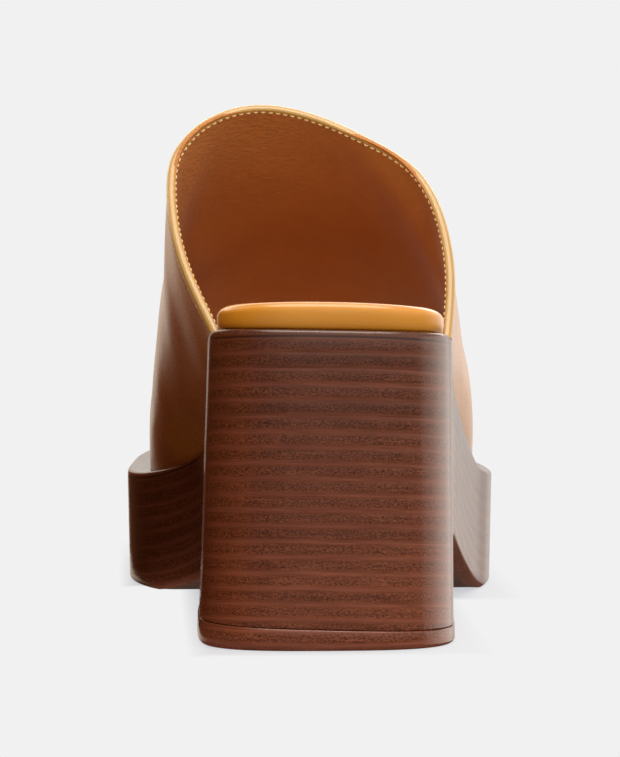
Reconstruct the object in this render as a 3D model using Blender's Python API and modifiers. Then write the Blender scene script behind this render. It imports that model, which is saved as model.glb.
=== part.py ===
"""Open-toe platform mule for the right foot: a heeled sandal on a moulded stacked-look sole.

The shoe is modelled in millimetres in its own axes: y runs from the back of the heel to the toe, x is
lateral (+) or medial (-) of the heel's centre line, z is the height above the floor. MM turns these
into Blender's metres where a mesh is made. At the end everything is hung on an empty that puts the
origin under the middle of the shoe, on the floor.
"""

import math
from collections import namedtuple

import bmesh
import bpy
from mathutils import Vector

MM = 0.001
GAP = 0.3  # air left between two pieces that touch on the real shoe
WELD = 1e-6  # metres: points closer than this are one point

# Sole: outline, edges and heel
LENGTH = 231.0
HEEL_ROUND = 22.0  # how far the rounding of the outline reaches in from the back of the heel
HEEL_SQUARENESS = 3.1  # superellipse exponent of that rounding: 2 is round, more is squarer
TOE_ROUND = 54.0
TOE_SQUARENESS = 2.4
TOE_AXIS = -7.0  # x of the tip of the toe
TOP_EDGE_RADIUS = 1.6
BOTTOM_EDGE_RADIUS = 1.4
STATIONS_MIDDLE = 34
STATIONS_END = 8
EDGE_STEPS = 3
WALL_ROWS = (0.35, 0.7)  # heights of the wall's middle rows, as shares of the top's

SoleRow = namedtuple("SoleRow", "y lateral medial floor_lateral floor_medial top ledge_lateral ledge_medial")
# Half widths of the wall at its top edge and at the floor, before the ends are rounded, the height of the
# top, and the ledge left outside the upper.
SOLE = [
    SoleRow(0, 29.6, 29.6, 30.4, 31.4, 78.6, 0.5, 0.5),
    SoleRow(20, 31.3, 30.0, 32.0, 32.4, 76.6, 0.5, 1.4),
    SoleRow(39, 33.2, 29.6, 33.3, 32.2, 73.8, 0.5, 1.4),
    SoleRow(60, 35.6, 28.8, 34.6, 30.8, 62.4, 0.5, 0.8),
    SoleRow(76, 38.8, 28.2, 37.8, 28.2, 53.6, 0.5, 0.5),
    SoleRow(90, 41.8, 28.4, 41.0, 27.8, 46.4, 0.6, 0.5),
    SoleRow(104, 45.0, 31.0, 44.4, 30.4, 40.2, 1.0, 0.7),
    SoleRow(116, 48.0, 38.2, 47.4, 37.6, 35.6, 2.4, 2.2),
    SoleRow(128, 51.6, 45.6, 51.0, 45.0, 32.9, 4.8, 4.8),
    SoleRow(143, 54.0, 49.8, 53.4, 49.2, 31.9, 6.2, 6.4),
    SoleRow(158, 53.4, 50.2, 52.8, 49.6, 31.9, 6.2, 6.6),
    SoleRow(176, 50.8, 48.8, 50.2, 48.2, 32.2, 5.8, 6.2),
    SoleRow(200, 45.6, 46.0, 45.0, 45.4, 33.2, 5.4, 5.6),
    SoleRow(231, 39.0, 41.0, 38.4, 40.4, 35.2, 5.2, 5.6),
]

# Underside: heel breast, arch and toe spring
TOP_PIECE = 5.2  # thickness of the heel's top piece, the layer that meets the floor
TOP_PIECE_ROUND = 1.2
BREAST_FOOT = 58.0  # y of the heel's front face at the floor
BREAST_HEAD = (60.2, 14.0)  # y, z where the breast starts to round into the arch
ARCH_CORNER = 61.0  # y of the corner that the arch's root is rounded from
ARCH_ROOT_END = 69.5  # y where that rounding ends
ARCH_CONTACT = 124.0  # y where the underside comes down on the floor
ARCH_RISE = 0.17
ARCH_POWER = 1.19
ARCH_STEPS = 10
ROOT_STEPS = 5
FEATHER = 1.0  # the arch stops this far short of running out to nothing on the floor
CUT_PAST = 6.0  # how far a cutter reaches past what it cuts
SPRING_START = 172.0  # y where the tread lifts off the floor towards the toe
TOE_SPRING = 5.0

# Insole
INSOLE_THICK_HEEL = 7.4
INSOLE_THICK_TOE = 6.0
INSOLE_THINNING = (60.0, 150.0)  # y over which it thins
INSOLE_EDGE_RADIUS = 2.6
INSOLE_FOOT_CHAMFER = 0.5
InsoleRow = namedtuple("InsoleRow", "y lateral medial")
# How far the insole's edge lies inside the outline of the sole.
INSOLE_MARGIN = [
    InsoleRow(0, 1.6, 1.6),
    InsoleRow(24, 2.2, 2.4),
    InsoleRow(36, 3.3, 4.2),
    InsoleRow(96, 3.6, 3.4),
    InsoleRow(116, 5.6, 5.8),
    InsoleRow(143, 9.0, 9.6),
    InsoleRow(176, 9.0, 9.0),
    InsoleRow(205, 7.6, 7.6),
    InsoleRow(231, 5.6, 5.6),
]

# Upper
WALL = 2.0  # leather and lining together
UPPER_LIFT = 0.4  # air between the sole and the upper's lower edge
FOOT_PULL = 4.0  # how fast the wall returns from its belly to the sole's edge
RIM_START = 38.0  # y where the topline meets the sole
RIM_SLOPE = 1.14  # rise of the topline's plane
RIM_SEARCH = (28.0, 125.0)  # y range the topline lies in
RIM_HALVINGS = 40
TOE_EDGE_LATERAL, TOE_EDGE_CROWN, TOE_EDGE_MEDIAL = 188.0, 171.0, 196.0
TOE_EDGE_CURVE = 1.3
UPPER_ROWS, UPPER_COLUMNS = 24, 36

UpperRow = namedtuple("UpperRow", "y belly_lateral belly_medial crown_x crown_z square_lateral square_medial")
# Sections of the last under the upper: widest half widths, the crown, and the squareness of each half.
# Behind the topline the crown is that of the whole last, which the topline's plane cuts away.
UPPER = [
    UpperRow(28, 33.0, 36.5, -6.0, 178.0, 2.5, 3.4),
    UpperRow(44, 35.1, 38.8, -8.0, 170.0, 2.5, 3.4),
    UpperRow(58, 37.0, 40.4, -9.0, 160.0, 2.2, 3.5),
    UpperRow(72, 40.0, 41.4, -11.0, 149.0, 2.03, 3.7),
    UpperRow(82, 43.6, 42.9, -12.5, 140.4, 1.73, 2.85),
    UpperRow(91, 45.8, 44.2, -13.5, 132.8, 1.74, 2.3),
    UpperRow(111, 47.2, 44.9, -11.5, 113.4, 2.07, 2.65),
    UpperRow(125, 47.4, 45.0, -9.5, 102.0, 2.15, 2.6),
    UpperRow(147, 48.0, 44.5, -7.5, 88.5, 2.2, 2.5),
    UpperRow(171, 46.2, 43.2, -6.5, 76.5, 2.3, 2.5),
    UpperRow(200, 40.6, 40.8, -6.0, 68.0, 2.3, 2.5),
]

# Bindings along the topline and the toe edge
BINDING_RADIUS = 1.35
BINDING_POINTS = 48
BINDING_CLEAR = 0.5  # air under the binding where it runs down to the sole
EDGE_STEP = 0.004  # share of the upper's surface used to feel its directions at an edge

Finish = namedtuple("Finish", "colour roughness")
STACK = Finish((0.105, 0.038, 0.024), 0.32)
LEATHER = Finish((0.52, 0.235, 0.055), 0.42)


def clear_scene():
    for obj in list(bpy.data.objects):
        bpy.data.objects.remove(obj, do_unlink=True)


def new_collection(name):
    collection = bpy.data.collections.new(name)
    bpy.context.scene.collection.children.link(collection)
    return collection


def smooth(table, column, y):
    """A column of a table at y: a cubic through its rows, with slopes from the neighbouring rows."""
    y = min(max(y, table[0].y), table[-1].y)
    index = max(i for i, row in enumerate(table[:-1]) if row.y <= y)

    def slope(i):
        before, after = table[max(i - 1, 0)], table[min(i + 1, len(table) - 1)]
        return (getattr(after, column) - getattr(before, column)) / (after.y - before.y)

    low, high = table[index], table[index + 1]
    span = high.y - low.y
    t = (y - low.y) / span
    start, end = getattr(low, column), getattr(high, column)
    return (
        start * (2 * t**3 - 3 * t**2 + 1)
        + end * (3 * t**2 - 2 * t**3)
        + span * slope(index) * (t**3 - 2 * t**2 + t)
        + span * slope(index + 1) * (t**3 - t**2)
    )


def smoothstep(low, high, value):
    t = min(max((value - low) / (high - low), 0.0), 1.0)
    return t * t * (3 - 2 * t)


# Sole outline

def end_rounding(y):
    """Share of the tabled half width that is left where the heel and the toe are rounded."""
    share = 1.0
    if y < HEEL_ROUND:
        share *= (1 - (1 - y / HEEL_ROUND) ** HEEL_SQUARENESS) ** (1 / HEEL_SQUARENESS)
    from_toe = LENGTH - y
    if from_toe < TOE_ROUND:
        share *= max(1 - (1 - from_toe / TOE_ROUND) ** TOE_SQUARENESS, 0.0) ** (1 / TOE_SQUARENESS)
    return share


def half_width(y, side, share=1.0):
    """x of the sole's wall at y, on the side 'lateral' or 'medial', at a share of the height of its top."""
    sign = 1 if side == "lateral" else -1
    axis = TOE_AXIS * smoothstep(LENGTH - 2 * TOE_ROUND, LENGTH - TOE_ROUND, y)
    at_top, at_floor = smooth(SOLE, side, y), smooth(SOLE, "floor_" + side, y)
    width = at_floor + (at_top - at_floor) * share
    return axis + (sign * width - axis) * end_rounding(y)


def sole_stations(last=LENGTH):
    """y of the outline's points, closer together where the ends are rounded."""
    angles = [math.radians(90 * (i + 0.5) / (STATIONS_END + 0.5)) for i in range(STATIONS_END)]
    heel = [HEEL_ROUND * (1 - math.cos(a)) for a in angles]
    toe = [LENGTH - TOE_ROUND * (1 - math.cos(a)) for a in reversed(angles)]
    low, high = heel[-1], toe[0]
    middle = [low + (high - low) * i / STATIONS_MIDDLE for i in range(1, STATIONS_MIDDLE)]
    return [y for y in heel + middle + toe if y <= last]


def outline(stations, height=None):
    """Closed loop of (x, y) up the lateral side and back down the medial side: the wall's top edge, or the
    wall at a height that is a function of y."""
    def share(y):
        return 1.0 if height is None else height(y) / sole_top(y)

    lateral = [Vector((half_width(y, "lateral", share(y)), y)) for y in stations]
    medial = [Vector((half_width(y, "medial", share(y)), y)) for y in reversed(stations)]
    return lateral + medial


def outward_normals(loop):
    normals = []
    for i, point in enumerate(loop):
        along = loop[(i + 1) % len(loop)] - loop[i - 1]
        normals.append(Vector((along.y, -along.x)).normalized())
    return normals


def moved_out(loop, distances):
    return [p + n * d for p, n, d in zip(loop, outward_normals(loop), distances)]


def edge_arc(radius):
    """(inset, drop) along a quarter round, from the flat face to the wall."""
    angles = [math.radians(90 * i / EDGE_STEPS) for i in range(EDGE_STEPS + 1)]
    return [(radius * (1 - math.sin(a)), radius * (1 - math.cos(a))) for a in angles]


def sole_top(y):
    return smooth(SOLE, "top", y)


def sole_bottom(y):
    rise = max(y - SPRING_START, 0.0) / (LENGTH - SPRING_START)
    return TOE_SPRING * rise**2


# Mesh makers

def finished_object(name, mesh, collection, finish):
    obj = bpy.data.objects.new(name, mesh)
    collection.objects.link(obj)
    material = bpy.data.materials.new(name)
    material.use_nodes = True
    shader = material.node_tree.nodes["Principled BSDF"]
    shader.inputs["Base Color"].default_value = (*finish.colour, 1.0)
    shader.inputs["Roughness"].default_value = finish.roughness
    shader.inputs["Metallic"].default_value = 0.0
    obj.data.materials.append(material)
    return obj


def shade(mesh, sharp_degrees=35):
    mesh.shade_smooth()
    mesh.set_sharp_from_angle(angle=math.radians(sharp_degrees))


def stacked_loft(name, loops):
    """A closed mesh from outline loops stacked from the bottom up. Each loop runs up the lateral side and
    down the medial side, so straight rungs between the two sides close the bottom and the top."""
    bm = bmesh.new()
    rings = [[bm.verts.new(point * MM) for point in loop] for loop in loops]
    count = len(rings[0])
    for lower, upper in zip(rings, rings[1:]):
        for i in range(count):
            j = (i + 1) % count
            bm.faces.new((lower[i], lower[j], upper[j], upper[i]))
    for ring, turned in ((rings[0], True), (rings[-1], False)):
        for i in range(count // 2 - 1):
            rung = [ring[i], ring[i + 1], ring[count - 2 - i], ring[count - 1 - i]]
            bm.faces.new(rung[::-1] if turned else rung)
    bmesh.ops.recalc_face_normals(bm, faces=bm.faces[:])
    mesh = bpy.data.meshes.new(name)
    bm.to_mesh(mesh)
    bm.free()
    return mesh


def profile_cutter(name, profile, collection):
    """A helper solid: a (y, z) profile as a filled 2D curve, extruded across the shoe and made a mesh."""
    curve = bpy.data.curves.new(name, "CURVE")
    curve.dimensions = "2D"
    curve.fill_mode = "BOTH"
    curve.extrude = LENGTH / 2 * MM
    spline = curve.splines.new("POLY")
    spline.points.add(len(profile) - 1)
    for point, (y, z) in zip(spline.points, profile):
        point.co = (y * MM, z * MM, 0.0, 1.0)
    spline.use_cyclic_u = True
    drawn = bpy.data.objects.new(name + "_curve", curve)
    collection.objects.link(drawn)
    # The curve lies in its own x and y: turn them to the shoe's y and z.
    drawn.rotation_euler = (math.radians(90), 0.0, math.radians(90))
    bpy.context.view_layer.update()
    graph = bpy.context.evaluated_depsgraph_get()
    mesh = bpy.data.meshes.new_from_object(drawn.evaluated_get(graph))
    bm = bmesh.new()
    bm.from_mesh(mesh)
    bmesh.ops.remove_doubles(bm, verts=bm.verts[:], dist=WELD)
    bmesh.ops.recalc_face_normals(bm, faces=bm.faces[:])
    bm.to_mesh(mesh)
    bm.free()
    cutter = bpy.data.objects.new(name, mesh)
    cutter.matrix_world = drawn.matrix_world
    collection.objects.link(cutter)
    bpy.data.objects.remove(drawn, do_unlink=True)
    cutter.hide_render = True
    cutter.display_type = "WIRE"
    return cutter


def cut(obj, cutter):
    modifier = obj.modifiers.new("cut_" + cutter.name, "BOOLEAN")
    modifier.operation = "DIFFERENCE"
    modifier.object = cutter
    modifier.solver = "EXACT"


# Sole unit and heel top piece

def wall_loop(stations, inset, height):
    """Loop of the sole's wall at a height that is a function of y, moved in by the inset."""
    edge = moved_out(outline(stations, height), [-inset] * (2 * len(stations)))
    return [Vector((*p, height(p.y))) for p in edge]


def sole_loops(stations):
    """Loops of the sole before its underside is cut, from the tread's edge up to the top face."""
    loops = []
    for inset, lift in edge_arc(BOTTOM_EDGE_RADIUS):
        loops.append(wall_loop(stations, inset, lambda y, lift=lift: sole_bottom(y) + lift))
    for share in WALL_ROWS:
        loops.append(wall_loop(stations, 0.0, lambda y, share=share: share * sole_top(y)))
    for inset, drop in reversed(edge_arc(TOP_EDGE_RADIUS)):
        loops.append(wall_loop(stations, inset, lambda y, drop=drop: sole_top(y) - drop))
    return loops


def underside_height(y):
    return ARCH_RISE * max(ARCH_CONTACT - y, 0.0) ** ARCH_POWER


def underside_profile():
    """(y, z) outline of the air under the sole: below the heel, up the breast and down the arch."""
    seat = TOP_PIECE + GAP
    profile = [(-CUT_PAST, -CUT_PAST), (-CUT_PAST, seat), (BREAST_FOOT, seat)]
    corner = (ARCH_CORNER, underside_height(ARCH_CORNER))
    end = (ARCH_ROOT_END, underside_height(ARCH_ROOT_END))
    for i in range(ROOT_STEPS + 1):
        t = i / ROOT_STEPS
        weights = ((1 - t) ** 2, 2 * t * (1 - t), t**2)
        points = (BREAST_HEAD, corner, end)
        profile.append(tuple(sum(w * p[axis] for w, p in zip(weights, points)) for axis in (0, 1)))
    last = ARCH_CONTACT - FEATHER
    for i in range(1, ARCH_STEPS + 1):
        y = ARCH_ROOT_END + (last - ARCH_ROOT_END) * i / ARCH_STEPS
        profile.append((y, underside_height(y)))
    profile.append((last, -CUT_PAST))
    return profile


def make_sole_unit(parts, cutters):
    mesh = stacked_loft("sole_unit", sole_loops(sole_stations()))
    shade(mesh)
    sole = finished_object("sole_unit", mesh, parts, STACK)
    cut(sole, profile_cutter("under_sole", underside_profile(), cutters))
    return sole


def make_top_piece(parts, cutters):
    """The heel's walking surface: the foot of the heel's own wall, cut off level with the breast."""
    front = BREAST_FOOT + HEEL_ROUND
    stations = sole_stations(last=front)
    rows = edge_arc(TOP_PIECE_ROUND) + [(0.0, TOP_PIECE)]
    loops = [wall_loop(stations, inset, lambda y, z=z: z) for inset, z in rows]
    mesh = stacked_loft("heel_top_piece", loops)
    shade(mesh)
    piece = finished_object("heel_top_piece", mesh, parts, STACK)
    below, above, beyond = -CUT_PAST, TOP_PIECE + CUT_PAST, front + CUT_PAST
    profile = [(BREAST_FOOT, below), (BREAST_FOOT, above), (beyond, above), (beyond, below)]
    cut(piece, profile_cutter("breast_line", profile, cutters))
    return piece


# Insole

def insole_thickness(y):
    return INSOLE_THICK_HEEL + (INSOLE_THICK_TOE - INSOLE_THICK_HEEL) * smoothstep(*INSOLE_THINNING, y)


def make_insole(parts):
    base = outline(sole_stations())
    margins = [smooth(INSOLE_MARGIN, "lateral" if p.x > 0 else "medial", p.y) for p in base]

    def loop(inset, height):
        edge = moved_out(base, [-margin - inset for margin in margins])
        return [Vector((*p, sole_top(p.y) + GAP + height(p.y))) for p in edge]

    loops = [loop(INSOLE_FOOT_CHAMFER, lambda y: 0.0), loop(0.0, lambda y: INSOLE_FOOT_CHAMFER)]
    for inset, drop in reversed(edge_arc(INSOLE_EDGE_RADIUS)):
        loops.append(loop(inset, lambda y, drop=drop: insole_thickness(y) - drop))
    mesh = stacked_loft("insole", loops)
    shade(mesh)
    return finished_object("insole", mesh, parts, LEATHER)


# Upper

def upper_point(y, angle):
    """Outer face of the upper at y. The angle runs from 0 at the lateral sole edge over the crown at 90
    degrees to 180 at the medial sole edge."""
    lateral = angle <= math.pi / 2
    side, sign = ("lateral", 1) if lateral else ("medial", -1)
    row = {c: smooth(UPPER, c, y) for c in UpperRow._fields[1:]}
    power = row["square_" + side]
    c, s = abs(math.cos(angle)), math.sin(angle)
    reach = (c**power + max(s, 0.0) ** power) ** (-1 / power)
    foot_z = sole_top(y) + UPPER_LIFT
    height = row["crown_z"] - foot_z
    share = s * reach
    belly = row["belly_" + side]
    foot = sign * half_width(y, side) - smooth(SOLE, "ledge_" + side, y)
    across = (belly - sign * row["crown_x"]) * c * reach - (belly - foot) * (1 - share) ** FOOT_PULL
    return Vector((row["crown_x"] + sign * across, y, foot_z + height * share))


def rim_height(y):
    return sole_top(RIM_START) + UPPER_LIFT + RIM_SLOPE * (y - RIM_START)


def rim_y(angle):
    """y where the upper's surface at this angle meets the topline's plane."""
    low, high = RIM_SEARCH
    for _ in range(RIM_HALVINGS):
        middle = (low + high) / 2
        if upper_point(middle, angle).z > rim_height(middle):
            low = middle
        else:
            high = middle
    return low


def toe_edge_y(angle):
    end = TOE_EDGE_LATERAL if angle <= math.pi / 2 else TOE_EDGE_MEDIAL
    return TOE_EDGE_CROWN + (end - TOE_EDGE_CROWN) * (1 - math.sin(angle)) ** TOE_EDGE_CURVE


def upper_surface(along, around):
    """Point of the outer face from its shares of the way from topline to toe edge, and from the lateral to
    the medial sole edge."""
    angle = math.pi * around
    back, front = rim_y(angle), toe_edge_y(angle)
    return upper_point(back + (front - back) * along, angle)


def make_upper(parts):
    bm = bmesh.new()
    bmesh.ops.create_grid(bm, x_segments=UPPER_ROWS, y_segments=UPPER_COLUMNS, size=0.5)
    for vert in bm.verts:
        vert.co = upper_surface(vert.co.x + 0.5, vert.co.y + 0.5) * MM
    bmesh.ops.recalc_face_normals(bm, faces=bm.faces[:])
    crown = max(bm.faces, key=lambda face: face.calc_center_median().z)
    if crown.normal.z < 0:
        bmesh.ops.reverse_faces(bm, faces=bm.faces[:])
    mesh = bpy.data.meshes.new("upper")
    bm.to_mesh(mesh)
    bm.free()
    shade(mesh)
    upper = finished_object("upper", mesh, parts, LEATHER)
    wall = upper.modifiers.new("wall", "SOLIDIFY")
    wall.thickness = WALL * MM
    wall.offset = -1.0
    wall.use_even_offset = True
    return upper


# Bindings

def edge_frame(along, around):
    """Point in the middle of the wall on the edge at along 0 or 1, and the direction square out of that
    edge."""
    inner = along + EDGE_STEP if along == 0 else along - EDGE_STEP
    point = upper_surface(along, around)
    before, after = upper_surface(along, around - EDGE_STEP), upper_surface(along, around + EDGE_STEP)
    tangent = (after - before).normalized()
    outward = point - upper_surface(inner, around)
    outward = (outward - tangent * outward.dot(tangent)).normalized()
    normal = outward.cross(tangent)
    if (point - Vector((0, point.y, sole_top(point.y)))).dot(normal) < 0:
        normal = -normal
    return point - normal * (WALL / 2), outward


def binding_point(along, around):
    middle, outward = edge_frame(along, around)
    return middle + outward * (BINDING_RADIUS + GAP)


def binding_end(along, start, step):
    """Share around the edge, searched from one sole edge inwards, where the binding clears the sole."""
    around = start
    while True:
        point = binding_point(along, around)
        if point.z - sole_top(point.y) > BINDING_RADIUS + BINDING_CLEAR:
            return around
        around += step


def make_binding(name, along, parts):
    curve = bpy.data.curves.new(name, "CURVE")
    curve.dimensions = "3D"
    curve.bevel_depth = BINDING_RADIUS * MM
    curve.bevel_resolution = 2
    curve.use_fill_caps = True
    spline = curve.splines.new("POLY")
    spline.points.add(BINDING_POINTS - 1)
    first = binding_end(along, EDGE_STEP, EDGE_STEP / 2)
    last = binding_end(along, 1 - EDGE_STEP, -EDGE_STEP / 2)
    for i, point in enumerate(spline.points):
        around = first + (last - first) * i / (BINDING_POINTS - 1)
        point.co = (*(binding_point(along, around) * MM), 1.0)
    return finished_object(name, curve, parts, LEATHER)


def hang_on_origin(sole, objects):
    """Parents the pieces to an empty, moved so that the origin is under the middle of the shoe. The sole
    reaches furthest to every side."""
    bpy.context.view_layer.update()
    corners = [Vector(corner) for corner in sole.bound_box]
    low = Vector(map(min, zip(*corners)))
    high = Vector(map(max, zip(*corners)))
    root = bpy.data.objects.new("shoe_origin", None)
    bpy.context.scene.collection.objects.link(root)
    root.location = (-(low.x + high.x) / 2, -(low.y + high.y) / 2, 0.0)
    for obj in objects:
        obj.parent = root


def main():
    clear_scene()
    parts = new_collection("platform_mule")
    cutters = new_collection("cutters")
    pieces = [
        make_sole_unit(parts, cutters),
        make_top_piece(parts, cutters),
        make_insole(parts),
        make_upper(parts),
        make_binding("topline_binding", 0.0, parts),
        make_binding("toe_binding", 1.0, parts),
    ]
    hang_on_origin(pieces[0], pieces + list(cutters.objects))


main()
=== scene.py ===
"""Looks of an open-toe platform mule: stacked-look sole, tan leather upper with its lining, folded edges,
stitches and insole, on a pale studio floor.

Sizes are millimetres in the shoe's own axes, as in the part's source: y runs from the back of the heel to
the toe, x is lateral (+) or medial (-) of the heel's centre line, z is the height above the floor.
in_frame() turns them into the metres of the frame.
"""

import math
from collections import namedtuple
from functools import lru_cache

import bmesh
import bpy
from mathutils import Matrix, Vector


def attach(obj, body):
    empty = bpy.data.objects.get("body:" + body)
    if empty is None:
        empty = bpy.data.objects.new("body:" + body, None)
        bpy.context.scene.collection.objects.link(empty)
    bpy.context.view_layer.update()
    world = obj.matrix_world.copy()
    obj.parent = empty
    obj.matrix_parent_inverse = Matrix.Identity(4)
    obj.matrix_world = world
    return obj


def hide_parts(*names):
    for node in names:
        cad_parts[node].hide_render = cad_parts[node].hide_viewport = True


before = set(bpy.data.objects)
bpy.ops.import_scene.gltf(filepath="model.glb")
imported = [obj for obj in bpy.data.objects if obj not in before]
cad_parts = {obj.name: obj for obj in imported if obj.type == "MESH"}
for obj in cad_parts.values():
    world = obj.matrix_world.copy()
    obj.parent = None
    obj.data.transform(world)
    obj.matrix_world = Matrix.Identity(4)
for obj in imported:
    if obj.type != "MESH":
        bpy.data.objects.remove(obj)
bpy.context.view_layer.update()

MM = 0.001
ORIGIN = Vector((1.877, 115.432, 0.0))  # the frame's origin in the shoe's axes
WELD = 1e-6  # metres: points closer than this are one point
SIGN = {"lateral": 1, "medial": -1}  # which way x runs on either side

# Sole: outline, edges and underside, as in the part's source
LENGTH = 231.0
RoundedEnd = namedtuple("RoundedEnd", "length squareness")
HEEL_END = RoundedEnd(22.0, 3.1)
TOE_END = RoundedEnd(54.0, 2.4)
TOE_AXIS = -7.0
TOP_EDGE_RADIUS = 1.6
BOTTOM_EDGE_RADIUS = 1.4
TOP_PIECE = 5.2
BREAST_FOOT = 58.0
BREAST_HEAD = (60.2, 14.0)
ARCH_CORNER = 61.0
ARCH_ROOT_END = 69.5
ARCH_CONTACT = 124.0
ARCH_RISE = 0.17
ARCH_POWER = 1.19
SPRING_START = 172.0
TOE_SPRING = 5.0

SoleRow = namedtuple("SoleRow", "y lateral medial floor_lateral floor_medial top ledge_lateral ledge_medial")
SOLE = [
    SoleRow(0, 29.6, 29.6, 30.4, 31.4, 78.6, 0.5, 0.5),
    SoleRow(20, 31.3, 30.0, 32.0, 32.4, 76.6, 0.5, 1.4),
    SoleRow(39, 33.2, 29.6, 33.3, 32.2, 73.8, 0.5, 1.4),
    SoleRow(60, 35.6, 28.8, 34.6, 30.8, 62.4, 0.5, 0.8),
    SoleRow(76, 38.8, 28.2, 37.8, 28.2, 53.6, 0.5, 0.5),
    SoleRow(90, 41.8, 28.4, 41.0, 27.8, 46.4, 0.6, 0.5),
    SoleRow(104, 45.0, 31.0, 44.4, 30.4, 40.2, 1.0, 0.7),
    SoleRow(116, 48.0, 38.2, 47.4, 37.6, 35.6, 2.4, 2.2),
    SoleRow(128, 51.6, 45.6, 51.0, 45.0, 32.9, 4.8, 4.8),
    SoleRow(143, 54.0, 49.8, 53.4, 49.2, 31.9, 6.2, 6.4),
    SoleRow(158, 53.4, 50.2, 52.8, 49.6, 31.9, 6.2, 6.6),
    SoleRow(176, 50.8, 48.8, 50.2, 48.2, 32.2, 5.8, 6.2),
    SoleRow(200, 45.6, 46.0, 45.0, 45.4, 33.2, 5.4, 5.6),
    SoleRow(231, 39.0, 41.0, 38.4, 40.4, 35.2, 5.2, 5.6),
]

# Sole: what the looks add
SEAM_GAP = 0.1  # dark line between the heel and its top piece
SEAT_EDGE = 0.3  # rounding of the heel's lower edge at that line
FOOT_CORNER = 1.7  # rounding of the heel's front edge above the top piece
SEAT_END = BREAST_FOOT - FOOT_CORNER  # y where that rounding starts
TOP_PIECE_ROUND = 1.2
TOP_PIECE_LIP = 0.5  # rounding of the top piece's upper edge
TOP_PIECE_PROUD = 0.3  # how far the top piece stands out of the heel's wall
SUPPORT = 2.5  # width of the flat strip next to a rounded edge that keeps its shading crisp
END_STEPS = 30  # points around a quarter of the rounded heel or toe
STATION_STEP = 2.0
ARC_STEPS = 5
BREAST_STEPS = 4
OUTLINE_STEP = 0.02  # length over which the outline's direction is felt
LAYER_PITCH = 3.9
FIRST_LINE = 1.8  # depth of the first line between two layers below the sole's top
LINE_HALF = 0.34  # half width of the shallow groove along such a line
LINE_DEPTH = 0.015
HEEL_ROLL = 0.6  # how much higher the heel seat's medial edge is than its middle, and lower the lateral
ROLL_HALF = 30.0  # half the width over which it rolls
ROLL_FADE = (40.0, 78.0)  # y over which the roll runs out
SEAT_LIFT = 1.1  # how much the heel seat rises towards its back edge
LIFT_FADE = (8.0, 36.0)  # y over which that runs out
SEAM_TILT = 0.9  # how much higher the seam over the top piece is on the medial side, and lower on the lateral
SEAM_TILT_HEAD = 22.0  # height over which that runs out
LINE_BOW = 0.7  # how much lower the layer lines are at the heel's corners than behind the middle
STACK, TREAD = 0, 1  # places of the sole's two finishes

# Insole
INSOLE_GAP = 0.08
INSOLE_THICK_HEEL = 6.9
INSOLE_THICK_TOE = 6.0
INSOLE_THINNING = (60.0, 150.0)
INSOLE_EDGE_RADIUS = 2.6
INSOLE_FOOT_IN, INSOLE_FOOT_UP = 1.2, 3.4  # how far its side turns in at the foot, and over what height
INSOLE_ACROSS = 20
DISH_DEPTH = 1.1  # hollow of the footbed along its middle
DISH_FADE = 20  # stations over which it runs out at either end
CROWN_DROP = 1.3  # how much lower the footbed's edge is at the heel's corners than behind the middle
CROWN_FADE = (14.0, 44.0)  # y over which that runs out

InsoleRow = namedtuple("InsoleRow", "y lateral medial")
INSOLE_MARGIN = [
    InsoleRow(0, 1.6, 1.6),
    InsoleRow(24, 2.2, 2.4),
    InsoleRow(36, 3.3, 4.2),
    InsoleRow(96, 3.6, 3.4),
    InsoleRow(116, 5.6, 5.8),
    InsoleRow(143, 9.0, 9.6),
    InsoleRow(176, 9.0, 9.0),
    InsoleRow(205, 7.6, 7.6),
    InsoleRow(231, 5.6, 5.6),
]

# Upper, as in the part's source
WALL = 2.0
FOOT_PULL = 4.0
RIM_START = 38.0
RIM_LIFT = 0.4
RIM_SLOPE = 1.14
RIM_SEARCH = (28.0, 125.0)
RIM_HALVINGS = 40
TOE_EDGE_LATERAL, TOE_EDGE_CROWN, TOE_EDGE_MEDIAL = 188.0, 171.0, 196.0
TOE_EDGE_CURVE = 1.3

UpperRow = namedtuple("UpperRow", "y belly_lateral belly_medial crown_x crown_z square_lateral square_medial")
UPPER = [
    UpperRow(28, 33.0, 36.5, -6.0, 178.0, 2.5, 3.4),
    UpperRow(44, 35.1, 38.8, -8.0, 170.0, 2.5, 3.4),
    UpperRow(58, 37.0, 40.4, -9.0, 160.0, 2.2, 3.5),
    UpperRow(72, 40.0, 41.4, -11.0, 149.0, 2.03, 3.7),
    UpperRow(82, 43.6, 42.9, -12.5, 140.4, 1.73, 2.85),
    UpperRow(91, 45.8, 44.2, -13.5, 132.8, 1.74, 2.3),
    UpperRow(111, 47.2, 44.9, -11.5, 113.4, 2.07, 2.65),
    UpperRow(125, 47.4, 45.0, -9.5, 102.0, 2.15, 2.6),
    UpperRow(147, 48.0, 44.5, -7.5, 88.5, 2.2, 2.5),
    UpperRow(171, 46.2, 43.2, -6.5, 76.5, 2.3, 2.5),
    UpperRow(200, 40.6, 40.8, -6.0, 68.0, 2.3, 2.5),
]

# Upper: what the looks add
FOOT_CLEAR = 0.06  # air between the leather's lower edge and the sole
LEATHER = 1.1  # thickness of the outer leather
LINING_CLEAR = 0.05
LEATHER_REACH = 0.9  # how far the leather runs on into the folded edges
LINING_REACH = 2.45  # the same for the lining
UPPER_COLUMNS = 150
UPPER_ROWS = 90
EDGE_ROWS = (0.5, 1.0, 1.5, 2.0, 2.6, 3.4, 4.4)  # distances of extra rows from both edges
FEEL = 0.003  # share of the surface used to feel its directions
SEAM_TROUGH = 0.12  # how deep the stitches pull the leather in
SEAM_TROUGH_WIDTH = 0.9

Crease = namedtuple("Crease", "side start end width depth")
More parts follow.
